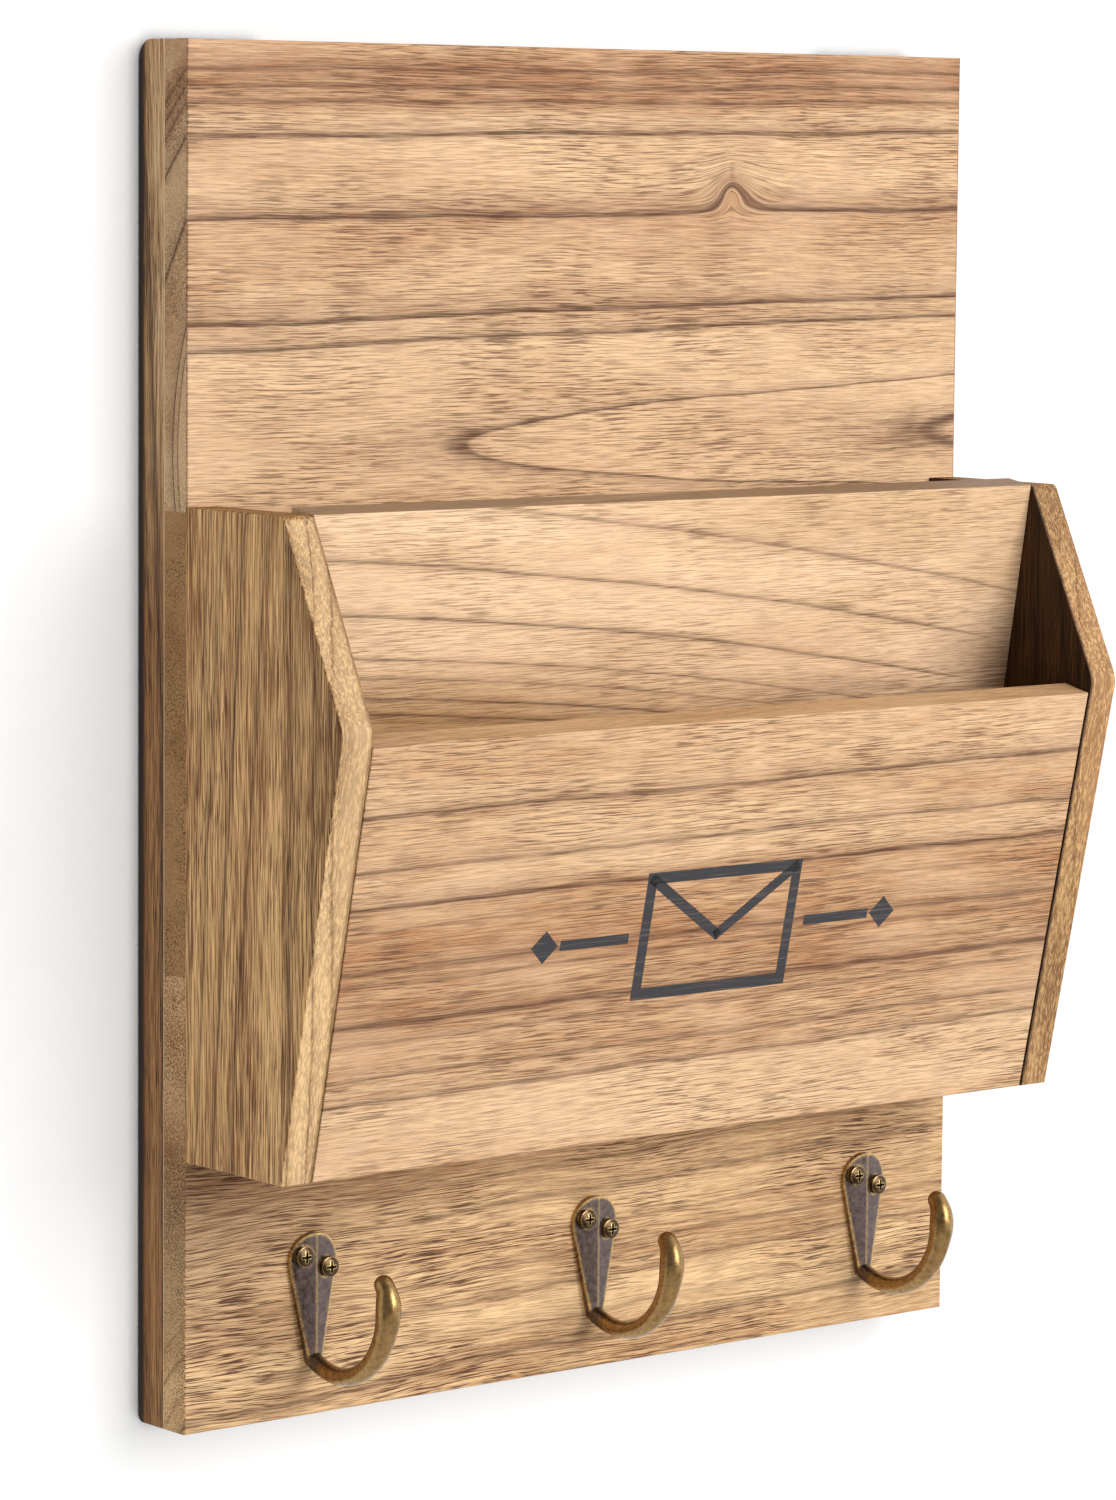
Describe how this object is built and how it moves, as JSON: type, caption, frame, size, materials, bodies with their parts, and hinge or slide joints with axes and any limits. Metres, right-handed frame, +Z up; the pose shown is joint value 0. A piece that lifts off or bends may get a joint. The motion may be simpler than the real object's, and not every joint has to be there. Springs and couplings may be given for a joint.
{
  "type": "wall mail organizer",
  "caption": "Wooden wall mail organizer: a back board on battens, a leaning letter pocket with a divider, and a row of cast key hooks below.",
  "frame": {"origin": "on the wall's face, midway between the entry holes of the two keyhole plates", "axes": "+X to the right as seen from the front, +Y towards the wall, +Z up"},
  "size_m": [0.28, 0.0916, 0.376],
  "materials": {
    "back_wood": "brushed, clear matte oil, open grain",
    "pocket_wood": "brushed, clear matte oil, open grain",
    "batten_wood": "brushed, clear matte oil, open grain",
    "hook_metal": "antique brass, dark in the hollows and rubbed bright on the edges",
    "hook_screw_metal": "antique brass plated steel",
    "hanger_steel": "zinc plated",
    "screw_steel": "zinc plated"
  },
  "bodies": {
    "root": {"back_bottom_board": "back_wood", "back_middle_board": "back_wood", "back_top_board": "back_wood", "divider_board": "pocket_wood", "front_panel": "pocket_wood", "left_batten": "batten_wood", "left_batten_bottom_screw": "screw_steel", "left_batten_middle_screw": "screw_steel", "left_batten_top_screw": "screw_steel", "left_floor_screw": "screw_steel", "left_hanger_lower_screw": "screw_steel", "left_hanger_plate": "hanger_steel", "left_hanger_upper_screw": "screw_steel", "left_hook": "hook_metal", "left_hook_lower_screw": "hook_screw_metal", "left_hook_upper_screw": "hook_screw_metal", "left_side_front_board": "pocket_wood", "left_side_lower_screw": "screw_steel", "left_side_rear_board": "pocket_wood", "left_side_upper_screw": "screw_steel", "middle_hook": "hook_metal", "middle_hook_lower_screw": "hook_screw_metal", "middle_hook_upper_screw": "hook_screw_metal", "pocket_bottom_board": "pocket_wood", "right_batten": "batten_wood", "right_batten_bottom_screw": "screw_steel", "right_batten_middle_screw": "screw_steel", "right_batten_top_screw": "screw_steel", "right_floor_screw": "screw_steel", "right_hanger_lower_screw": "screw_steel", "right_hanger_plate": "hanger_steel", "right_hanger_upper_screw": "screw_steel", "right_hook": "hook_metal", "right_hook_lower_screw": "hook_screw_metal", "right_hook_upper_screw": "hook_screw_metal", "right_side_front_board": "pocket_wood", "right_side_lower_screw": "screw_steel", "right_side_rear_board": "pocket_wood", "right_side_upper_screw": "screw_steel"}
  },
  "joints": []
}
